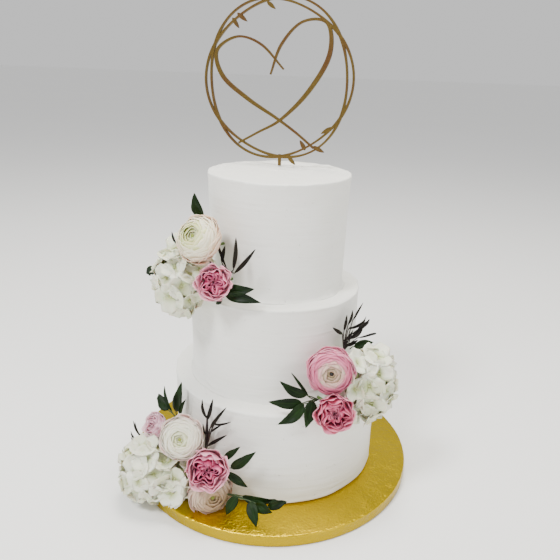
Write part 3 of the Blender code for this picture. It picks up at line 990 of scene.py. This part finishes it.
def floret_seedling(name, looks, draw):
    """One four-petalled floret facing +Z, its petals shaped row by row from a flat grid."""
    size = looks.floret_size / 2 * MM
    petals = []
    for quarter_turn in range(4):
        petal = grid_piece("floret_petal", 6, 6)
        cup = draw.uniform(0.1, 0.42)
        lean = draw.uniform(-0.12, 0.12)
        bpy.ops.object.mode_set(mode="EDIT")
        for row in range(7):
            v = row / 6
            y = 2 * v - 1
            wide = 0.53 * math.sin(math.pi * v ** 0.72 * 0.86) ** 0.6 + 0.08 if row else 0.08
            pick(petal, lambda place: abs(place.y - y) < 0.01)
            bpy.ops.transform.resize(value=(wide, 1, 1), center_override=(0, y, 0))
            bpy.ops.transform.translate(value=(0, (0.06 + 0.94 * v) - y + 3, cup * v * v))
        for rim, droop in ((0.1, 0.03), (0.28, 0.02), (0.44, -0.1)):
            pick(petal, lambda place: abs(place.x) > rim)
            bpy.ops.transform.translate(value=(0, -0.04, droop))
        bpy.ops.mesh.select_all(action="SELECT")
        bpy.ops.transform.translate(value=(0, -3, 0.03 * (quarter_turn % 2)))
        bpy.ops.transform.resize(value=(size, size, size), center_override=(0, 0, 0))
        turn = math.pi / 2 * quarter_turn + lean
        bpy.ops.transform.rotate(value=turn, orient_axis="Z", center_override=(0, 0, 0))
        bpy.ops.object.mode_set(mode="OBJECT")
        petals.append(petal)
    return joined(name, petals)


def hydrangea_frame(node):
    """The CAD head's centre, its own outward direction and its half sizes."""
    mesh = NODES[node].data
    points = np.empty(len(mesh.vertices) * 3)
    mesh.vertices.foreach_get("co", points)
    points = points.reshape(-1, 3)
    low, high = (Vector(corner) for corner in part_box(node))
    middle = (low + high) / 2
    outward = Vector((middle.x, middle.y, 0)).normalized()
    turn = Matrix((outward, Vector((0, 0, 1)).cross(outward), Vector((0, 0, 1)))).transposed()
    local = points @ np.array(turn)
    low, high = local.min(axis=0), local.max(axis=0)
    half = (high - low) / 2
    return turn @ Vector((low + high) / 2), turn, half


def hydrangea(node, seed, count, spills, looks):
    """A head of four-petalled florets over a smaller core, with a bead in each floret's heart."""
    draw = random.Random(seed)
    centre, turn, half = hydrangea_frame(node)
    seedlings = [floret_seedling("floret", looks, draw) for _ in range(3)]
    deselect()
    bpy.ops.mesh.primitive_ico_sphere_add(subdivisions=2, radius=1.3 * MM)
    bead = bpy.context.active_object
    florets, beads = [], []
    head = Matrix.Translation(centre) @ turn.to_4x4()
    heads = [(head, half, count)]
    for spot, sizes, number in spills:
        heads.append((Matrix.Translation(place(*spot)) @ turn.to_4x4(), np.array(sizes) * MM, number))
    for head, half, number in heads:
        for matrix in floret_places(head, half, number, draw):
            floret = copy_of(seedlings[draw.randrange(3)], "floret")
            points = coordinates(floret)
            wave = wave_noise(points, 90.0, draw.uniform(0, 50)) * 0.9 * MM
            points[:, 2] += wave * np.minimum(np.hypot(points[:, 0], points[:, 1]) / 0.008, 1)
            set_coordinates(floret, moved(points, matrix))
            florets.append(floret)
            dot = copy_of(bead, "bead")
            set_coordinates(dot, moved(coordinates(dot) + np.array([0, 0, 0.4 * MM]), matrix))
            beads.append(dot)
    for seedling in (*seedlings, bead):
        bpy.data.objects.remove(seedling)
    petals = joined(node + "_florets", florets)
    keep_inside(petals)
    applied(petals, "SOLIDIFY", thickness=looks.petal_thickness * MM, offset=0.0)
    core = hydrangea_core(node, [(h, s) for h, s, _ in heads])
    return smooth(petals), core, smooth(joined(node + "_beads", beads))


def floret_places(head, half, number, draw):
    """Matrices that spread florets evenly over an ellipsoid, each tilted a little."""
    golden = math.pi * (3 - math.sqrt(5))
    for i in range(number):
        up = 1 - 2 * (i + 0.5) / number
        around = math.sqrt(1 - up * up)
        swing = golden * i + draw.uniform(-0.12, 0.12)
        direction = Vector((around * math.cos(swing), around * math.sin(swing), up))
        depth = draw.uniform(0.8, 0.95)
        point = Vector([d * h * depth for d, h in zip(direction, half)])
        normal = Vector([d / h for d, h in zip(direction, half)]).normalized()
        normal += Vector([draw.uniform(-0.28, 0.28) for _ in range(3)])
        scale = Matrix.Scale(draw.uniform(0.85, 1.12), 4)
        yield head @ turned_to(point, normal.normalized(), draw.uniform(0, math.tau)) @ scale


def keep_inside(piece):
    """Presses points that stand past the object's box, or through the drum, back inside."""
    low, high = (np.array(corner) for corner in CAD_BOX)
    rim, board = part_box("cake_drum")[1][0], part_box("cake_drum")[1][2]
    points = coordinates(piece)
    over_board = np.hypot(points[:, 0], points[:, 1]) < rim + 0.0006
    points = np.clip(points, low + 0.0006, high - 0.0006)
    points[:, 2] = np.maximum(points[:, 2], np.where(over_board, board + 0.0004, board * 0.4))
    set_coordinates(piece, points)


def hydrangea_core(node, heads):
    """The green-white bed of buds and stalks that shows between florets, its colour partly painted shade
    between them.
    """
    cores = []
    for head, half in heads:
        deselect()
        bpy.ops.mesh.primitive_ico_sphere_add(subdivisions=5, radius=1)
        core = bpy.context.active_object
        points = coordinates(core)
        lumps = 0.72 + 0.07 * wave_noise(points, 4.0, 2.0) + 0.04 * wave_noise(points, 11.0, 6.0)
        set_coordinates(core, moved(points * lumps[:, None] * np.array(half), head))
        cores.append(core)
    core = joined(node + "_core", cores)
    keep_inside(core)
    return smooth(core)


# ---------------------------------------------------------------- greenery

SPRIGS = {
    "leaf_upper_top": ((-128, 96, 325), (((-128, 99, 334), (-128, 108, 362), 12.5),)),
    "twig_dark_upper": (
        (-99.7, 102, 283),
        (
            ((-101.5, 104, 289), (-113.4, 99, 323), 2.8),
            ((-105.3, 103, 293), (-106.3, 96, 310), 4.2),
            ((-97.3, 102, 288), (-98.5, 94, 321), 4.6),
            ((-96.6, 102, 284), (-83.7, 100, 313), 4.4),
            ((-99, 102, 282), (-105.7, 102, 291), 2.8),
        ),
    ),
    "ruscus_upper": (
        (-102.5, 106, 267),
        (
            ((-98.9, 110, 269), (-82.6, 108, 272), 11.5),
            ((-99.9, 111, 262), (-78.6, 110, 258), 11.5),
            ((-102.3, 110, 256), (-106.3, 111, 247), 5.8),
        ),
    ),
    "leaf_upper_left": ((-132, 140, 281), (((-134, 150, 278), (-139, 157, 269), 10.5),)),
    "twig_upper_left": (
        (-132, 120, 300),
        (
            ((-131, 128, 307), (-131, 132, 320), 2.8),
            ((-130, 126, 305), (-127.8, 129, 314), 2.6),
        ),
    ),
    "twig_pinnate": (
        (-27, 114, 193),
        (
            ((-29.2, 114, 214), (-36.2, 112, 225), 4.0),
            ((-27.4, 113, 217), (-24.4, 111, 234), 3.4),
            ((-24.8, 114, 223), (-20.5, 113, 238), 3.2),
            ((-25.4, 116, 219), (-5.6, 117, 221), 3.7),
            ((-22.4, 117, 211), (-0.6, 119, 214), 4.5),
            ((-24.3, 118, 207), (-9.7, 116, 218), 7.0),
            ((-21.5, 115, 226), (-12.5, 117, 243), 2.5),
            ((-17.6, 118, 203), (6.8, 127, 190), 2.5),
            ((-27.8, 114, 205), (-19.4, 114, 213), 3.6),
            ((-27.7, 115, 199), (-17.2, 119, 201), 4.0),
        ),
    ),
    "leaf_middle_back": ((-24, 118, 194), (((-24, 123, 199), (-15.5, 137, 202), 9.5),)),
    "ruscus_middle": (
        (-47, 126, 148),
        (
            ((-53.2, 125, 155), (-67.2, 118, 171), 11.0),
            ((-52.2, 124, 153), (-61, 117, 180), 3.2),
            ((-56.1, 128, 148), (-72.6, 130, 152), 12.0),
            ((-55.3, 130, 148), (-68, 136, 128), 13.0),
            ((-51.1, 130, 151), (-55.4, 140, 124), 14.0),
        ),
    ),
    "leaf_middle_low": ((-47, 138, 138), (((-48.7, 140, 136), (-46.6, 144, 126), 7.4),)),
    "ruscus_lower_top": (
        (-130, 134, 88),
        (
            ((-128.2, 136, 101), (-122.7, 134, 146), 12.0),
            ((-135.3, 140, 94), (-146, 148, 103), 13.5),
            ((-131.7, 138, 96), (-141, 141, 120), 4.6),
            ((-123.9, 135, 102), (-119, 134, 127), 5.6),
        ),
    ),
    "leaf_lower_left": ((-129, 148, 84), (((-129.9, 150, 86), (-136.4, 157, 92), 8.0),)),
    "twig_lower_left": (
        (-143.5, 166, 42),
        (
            ((-143.4, 170, 47), (-147.5, 180, 65), 2.8),
            ((-144.5, 171, 45), (-147, 178, 64), 2.6),
            ((-145.8, 177, 38), (-149.4, 184, 46), 2.8),
            ((-145.8, 177, 37), (-149, 184, 38), 2.4),
        ),
    ),
    "twig_dark_lower": (
        (-104, 136, 78),
        (
            ((-102.9, 136, 119), (-106.4, 134, 140), 3.6),
            ((-102.9, 135, 117), (-100.2, 133, 145), 4.2),
            ((-101.1, 136, 108), (-92.6, 134, 140), 3.6),
            ((-98.8, 136, 115), (-90.2, 134, 123), 2.4),
            ((-101.4, 140, 87), (-91.4, 138, 108), 3.6),
            ((-102.9, 137, 97), (-105.4, 136, 110), 2.2),
            ((-100.3, 137, 104), (-94.4, 136, 118), 2.2),
        ),
    ),
    "ruscus_lower_right": (
        (-95, 141, 66),
        (
            ((-91.4, 144, 81), (-84.6, 140, 98), 7.6),
            ((-88.3, 144, 71), (-77.2, 142, 96), 11.0),
            ((-89.6, 145, 65), (-80.5, 144, 49), 10.0),
        ),
    ),
    "ruscus_lower_drum": (
        (-90, 146, 36),
        (
            ((-84.7, 149, 39), (-88.2, 158, 18), 11.5),
            ((-82.6, 146, 38), (-67.5, 146, 37), 10.5),
            ((-78.9, 150, 36), (-75.1, 168, 17), 12.5),
            ((-76.3, 150, 34), (-69.4, 157, 28), 13.0),
            ((-71.1, 152, 32), (-63.2, 152, 39), 11.5),
        ),
    ),
}
FRONT = looking(-71, 20)


def leaf_seedling(name, narrow):
    """A flat grid drawn in row by row to a leaf: unit length along +Y, folded on its midrib."""
    leaf = grid_piece(name, 6, 14)
    bpy.ops.object.mode_set(mode="EDIT")
    for row in range(15):
        v = row / 14
        y = 2 * v - 1
        belly = math.sin(math.pi * v ** (0.9 if narrow else 0.74)) ** (0.75 if narrow else 0.9)
        half = belly * (1 - 0.1 * v) / 2 + 0.05 * (1 - v) + 0.004
        pick(leaf, lambda place: abs(place.y - y) < 0.01)
        bpy.ops.transform.resize(value=(half, 1, 1), center_override=(0, y, 0))
        bpy.ops.transform.translate(value=(0, v - y + 3, 0.07 * math.sin(math.pi * v)))
    for out in (0.12, 0.25, 0.38):
        pick(leaf, lambda place: abs(place.x) > out)
        bpy.ops.transform.translate(value=(0, 0, 0.012 if narrow else 0.02))
    bpy.ops.mesh.select_all(action="SELECT")
    bpy.ops.transform.translate(value=(0, -3, 0))
    bpy.ops.object.mode_set(mode="OBJECT")
    return leaf


def blade(seedling, base, tip, width, draw):
    """A copy of the leaf laid from base to tip, turned to the front and swayed a little."""
    length = (tip - base).length
    middle = (base + tip) / 2
    out = Vector((middle.x, middle.y, 0)).normalized()
    along = (tip - base).normalized()
    across = along.cross(FRONT * 0.8 + out * 0.4).normalized()
    normal = across.cross(along).normalized()
    leaf = copy_of(seedling, "blade")
    unit = coordinates(leaf)
    bow = np.sin(math.pi * unit[:, 1])
    x = unit[:, 0] * width * MM + bow * length * draw.uniform(-0.07, 0.07)
    z = unit[:, 2] * length * draw.uniform(0.6, 1.3)
    z = z + 0.05 * width * MM * np.sin(9 * unit[:, 1] + 8 * unit[:, 0] + draw.uniform(0, 6))
    points = np.outer(x, across) + np.outer(unit[:, 1] * length, along) + np.outer(z, normal)
    set_coordinates(leaf, points + np.array(base))
    return leaf


def sprig(node, looks, seedlings, seed):
    """A sprig's leaves, thickened, and its stalks."""
    draw = random.Random(seed)
    root, leaves = SPRIGS[node]
    blades, stalks = [], []
    thick = looks.stalk_radius * (1.5 if node == "twig_dark_lower" else 1.0) * MM
    for base, tip, width in leaves:
        seedling = seedlings[1 if width < 5 else 0]
        start, joint, end = place(*root), place(*base), place(*tip)
        blades.append(blade(seedling, joint, end, width, draw))
        bend = (start + joint) / 2 + Vector([draw.uniform(-1, 1) * MM for _ in range(3)])
        stalks.append(tube("stalk", [start, bend, joint, joint + (end - joint) * 0.15], thick, 4, 0.6))
    leaf_piece = joined(node + "_blades", blades)
    applied(leaf_piece, "SOLIDIFY", thickness=looks.leaf_thickness * MM, offset=0.0)
    stalk_piece = smooth(joined(node + "_stalks", stalks), 40)
    return smooth(leaf_piece), stalk_piece


# ---------------------------------------------------------------- settings and operators


def colour_property(name, description, default):
    return FloatVectorProperty(
        name=name, description=description, subtype="COLOR", size=3, min=0, max=1, default=default
    )


class CakeLooks(PropertyGroup):
    icing_colour: colour_property("Icing", "Buttercream colour", tint(242, 242, 237)[:3])
    foil_colour: colour_property("Foil", "Foil colour of the drum", tint(218, 186, 4)[:3])
    topper_colour: colour_property("Topper", "Colour of the topper's skin", tint(94, 74, 24)[:3])
    icing_edge: FloatProperty(
        name="Icing edge", description="Round of a tier's top edge, in mm", default=2.6, min=0.5
    )
    foil_seed: IntProperty(name="Foil folds", description="Which folds the foil has", default=4)
    hoop_width: FloatProperty(
        name="Hoop width", description="Width of a hoop's line, in mm", default=3.0, min=1.0
    )
    petal_thickness: FloatProperty(
        name="Petal thickness", description="Thickness of a petal, in mm", default=0.4, min=0.1
    )
    leaf_thickness: FloatProperty(
        name="Leaf thickness", description="Thickness of a leaf, in mm", default=0.45, min=0.1
    )
    stalk_radius: FloatProperty(
        name="Stalk radius", description="Radius of a twig's stalk, in mm", default=0.75, min=0.1
    )
    floret_size: FloatProperty(
        name="Floret size", description="Breadth of a hydrangea floret, in mm", default=32.0, min=5
    )


def looks_of(context):
    return context.scene.cake_looks


class CAKE_OT_drum(Operator):
    """Wraps the cake drum in embossed foil"""

    bl_idname = "cake.drum"
    bl_label = "Foil drum"

    def execute(self, context):
        looks = looks_of(context)
        finish(foil_drum(looks), foil_finish(looks), "foil", ["cake_drum"])
        return {"FINISHED"}


class CAKE_OT_tiers(Operator):
    """Ices the three tiers"""

    bl_idname = "cake.tiers"
    bl_label = "Iced tiers"

    def execute(self, context):
        looks = looks_of(context)
        icing = icing_finish(looks)
        for node, seed, smear, flare in (
            ("tier_bottom", 1, 1.2, 0.0),
            ("tier_middle", 22, 2.2, 2.0),
            ("tier_top", 43, 3.0, 2.4),
        ):
            finish(iced_tier(node, looks, seed, smear, flare), icing, "buttercream", [node])
        return {"FINISHED"}


class CAKE_OT_topper(Operator):
    """Cuts the hoop topper"""

    bl_idname = "cake.topper"
    bl_label = "Hoop topper"

    def execute(self, context):
        looks = looks_of(context)
        finish(hoop_topper(looks), topper_finish(looks), "bronze_board", ["topper"])
        return {"FINISHED"}


def petal_finishes():
    """A finish for each colouring: colours by layer, then the rim's colour and its share."""
    varieties = {
        "cream": (
            ((0.0, (132, 150, 34)), (0.24, (170, 180, 66)), (0.38, (206, 208, 126)),
             (0.5, (234, 224, 192)), (0.8, (232, 216, 190)), (1.0, (224, 190, 166))),
            (240, 232, 212), 0.5,
        ),
        "cream_green": (
            ((0.0, (168, 176, 100)), (0.14, (198, 204, 140)), (0.32, (228, 224, 196)),
             (0.8, (230, 222, 206)), (1.0, (222, 194, 188))), (240, 234, 222), 0.5,
        ),
        # The pink ranunculus's darker rim colour is partly painted shade between its rings.
        "pink": (
            ((0.0, (160, 166, 112)), (0.34, (214, 200, 178)), (0.52, (206, 120, 146)),
             (0.7, (208, 120, 148)), (1.0, (232, 172, 190))), (190, 84, 118), 0.4,
        ),
        "rose": (
            ((0.0, (136, 20, 68)), (0.4, (176, 48, 96)), (0.6, (206, 98, 136)),
             (0.8, (228, 164, 182)), (1.0, (234, 188, 198))), (226, 142, 168), 0.45,
        ),
        "deep_rose": (
            ((0.0, (138, 26, 66)), (0.4, (182, 58, 98)), (0.6, (202, 86, 120)),
             (0.8, (212, 108, 138)), (1.0, (222, 134, 158))), (226, 148, 168), 0.45,
        ),
        "blush": (
            ((0.0, (150, 134, 88)), (0.2, (188, 164, 132)), (0.6, (204, 182, 160)),
             (0.85, (210, 188, 172)), (1.0, (216, 194, 184))), (166, 130, 106), 0.4,
        ),
        "pale": (
            ((0.0, (196, 104, 136)), (0.4, (216, 154, 174)), (0.7, (228, 180, 194)),
             (0.9, (232, 194, 204)), (1.0, (234, 200, 208))), (242, 216, 222), 0.5,
        ),
    }
    return {
        name: petal_finish("petal_" + name, layers, rim, share)
        for name, (layers, rim, share) in varieties.items()
    }


BLOOM_SLOTS = {
    "cream": "petal_white", "cream_green": "petal_white", "pink": "petal_pink",
    "rose": "petal_rose", "deep_rose": "petal_rose", "blush": "petal_blush", "pale": "petal_pale",
}


class CAKE_OT_blooms(Operator):
    """Makes the ranunculus and the roses, petal by petal"""

    bl_idname = "cake.blooms"
    bl_label = "Ranunculus and roses"

    def execute(self, context):
        looks = looks_of(context)
        finishes = petal_finishes()
        green = stem_finish("sepal_green", tint(84, 108, 48))
        pale_heart = stem_finish("heart_green", tint(150, 160, 60))
        dark_heart = stem_finish("heart_dark", tint(26, 26, 20))
        deep_core = stem_finish("rose_core_deep", tint(134, 26, 66))
        pale_core = stem_finish("rose_core_pale", tint(196, 124, 150))
        for seed, (node, kind, colouring, growth, shift, azimuth, rise) in enumerate(BLOOMS):
            facing = looking(azimuth, rise)
            flower, centre, radius, matrix = bloom(node, kind, growth, shift, facing, looks, seed + 3)
            slot = BLOOM_SLOTS[colouring]
            finish(flower, finishes[colouring], slot, [node])
            if kind == "ranunculus":
                heart = heart_button(node + "_heart", radius, matrix, seed)
                finish(heart, dark_heart if colouring == "pink" else pale_heart, slot, [node])
            else:
                core = heart_button(node + "_core", radius, matrix, seed, (0.62, 0.62, 0.3), -0.2)
                finish(core, pale_core if colouring == "pale" else deep_core, slot, [node])
            stalk = sepals_and_stalk(node + "_sepals", centre, radius, matrix, facing)
            finish(stalk, green, "leaf", [node])
        return {"FINISHED"}


class CAKE_OT_hydrangeas(Operator):
    """Makes the hydrangea heads from their florets"""

    bl_idname = "cake.hydrangeas"
    bl_label = "Hydrangeas"

    def execute(self, context):
        looks = looks_of(context)
        petal = hydrangea_finish()
        # The bed's colour is partly the buds and stalks and partly painted shade between the florets.
        bed = stem_finish("hydrangea_bed", tint(176, 184, 128))
        bead_finish = stem_finish("floret_bead", tint(206, 210, 150))
        for node, seed, count, spills in HYDRANGEAS:
            florets, core, beads = hydrangea(node, seed, count, spills, looks)
            finish(florets, petal, "petal_hydrangea", [node])
            finish(core, bed, "petal_hydrangea", [node])
            finish(beads, bead_finish, "petal_hydrangea", [node])
        return {"FINISHED"}


class CAKE_OT_greenery(Operator):
    """Makes the leaves and twigs"""

    bl_idname = "cake.greenery"
    bl_label = "Leaves and twigs"

    def execute(self, context):
        looks = looks_of(context)
        leaf = leaf_finish("ruscus_leaf", tint(7, 21, 5), tint(23, 46, 12), 0.45)
        dark = leaf_finish("dark_leaf", tint(16, 13, 12), tint(34, 30, 22), 0.55)
        green_stem = stem_finish("green_stem", tint(48, 74, 30))
        dark_stem = stem_finish("dark_stem", tint(34, 20, 20))
        seedlings = [leaf_seedling("broad_leaf", False), leaf_seedling("narrow_leaf", True)]
        for seed, node in enumerate(SPRIGS):
            twig = node.startswith("twig")
            blades, stalks = sprig(node, looks, seedlings, seed + 60)
            slot = "twig" if twig else "leaf"
            finish(blades, dark if twig else leaf, slot, [node])
            finish(stalks, dark_stem if twig else green_stem, slot, [node])
        for seedling in seedlings:
            bpy.data.objects.remove(seedling)
        return {"FINISHED"}


def soft_light(name, position, target, size, power, colour=(1, 1, 1)):
    data = bpy.data.lights.new(name, "AREA")
    data.shape = "DISK"
    data.size = size
    data.energy = power
    data.color = colour
    lamp = bpy.data.objects.new(name, data)
    bpy.context.scene.collection.objects.link(lamp)
    lamp.location = position
    direction = Vector(target) - Vector(position)
    lamp.rotation_euler = direction.to_track_quat("-Z", "Y").to_euler()


# Where the camera stands: turned round +Z, then placed in metres, tilted down and rolled.
CAMERA_AZIMUTH = math.radians(19.0)
CAMERA_PLACE = (0.0046, -0.6909, 0.4909)
CAMERA_TILT = math.radians(19.56)
CAMERA_ROLL = math.radians(1.92)
CAMERA_LENS = 38.33


class CAKE_OT_stage(Operator):
    """Sets the table, the soft studio light and the camera"""

    bl_idname = "cake.stage"
    bl_label = "Stage"

    def execute(self, context):
        deselect()
        bpy.ops.mesh.primitive_plane_add(size=80, location=(0, 0, -0.0003))
        floor = bpy.context.active_object
        floor.name = "stage_floor"
        plain = Finish("stage_floor", Roughness=0.85)
        cloud = plain.noise(1.2, 2.0)
        plain.feed(Base_Color=plain.mix(cloud, tint(249, 249, 248), tint(246, 246, 245)))
        floor.data.materials.append(plain.material)
        world = bpy.data.worlds.new("studio")
        context.scene.world = world
        world.use_nodes = True
        background = world.node_tree.nodes["Background"]
        background.inputs["Color"].default_value = (1, 1, 1, 1)
        background.inputs["Strength"].default_value = 0.76
        middle = (0, 0, 0.25)
        soft_light("key", (-0.5, -1.25, 1.8), middle, 0.45, 42)
        soft_light("top", (0.1, 0.1, 2.0), middle, 0.9, 42, (1.0, 0.96, 0.86))
        soft_light("side", (1.7, -0.7, 0.9), middle, 1.0, 7, (1.0, 0.97, 0.92))
        camera_data = bpy.data.cameras.new("camera")
        camera_data.lens = CAMERA_LENS
        camera = bpy.data.objects.new("camera", camera_data)
        context.scene.collection.objects.link(camera)
        camera.matrix_world = (
            Matrix.Rotation(CAMERA_AZIMUTH, 4, "Z")
            @ Matrix.Translation(CAMERA_PLACE)
            @ Matrix.Rotation(math.pi / 2 - CAMERA_TILT, 4, "X")
            @ Matrix.Rotation(CAMERA_ROLL, 4, "Z")
        )
        context.scene.camera = camera
        return {"FINISHED"}


class CAKE_PT_panel(Panel):
    bl_label = "Tiered Flower Cake"
    bl_idname = "CAKE_PT_panel"
    bl_space_type = "VIEW_3D"
    bl_region_type = "UI"
    bl_category = "Cake"

    def draw(self, context):
        looks = looks_of(context)
        for name in CakeLooks.__annotations__:
            self.layout.prop(looks, name)
        for operator in OPERATORS:
            self.layout.operator(operator.bl_idname)


OPERATORS = (
    CAKE_OT_stage,
    CAKE_OT_drum,
    CAKE_OT_tiers,
    CAKE_OT_topper,
    CAKE_OT_blooms,
    CAKE_OT_hydrangeas,
    CAKE_OT_greenery,
)
CLASSES = (CakeLooks, *OPERATORS, CAKE_PT_panel)


def register():
    for made in CLASSES:
        bpy.utils.register_class(made)
    bpy.types.Scene.cake_looks = PointerProperty(type=CakeLooks)


def unregister():
    del bpy.types.Scene.cake_looks
    for made in reversed(CLASSES):
        bpy.utils.unregister_class(made)


def main():
    register()
    bpy.ops.cake.stage()
    bpy.ops.cake.drum()
    bpy.ops.cake.tiers()
    bpy.ops.cake.topper()
    bpy.ops.cake.blooms()
    bpy.ops.cake.hydrangeas()
    bpy.ops.cake.greenery()


if __name__ == "__main__":
    main()
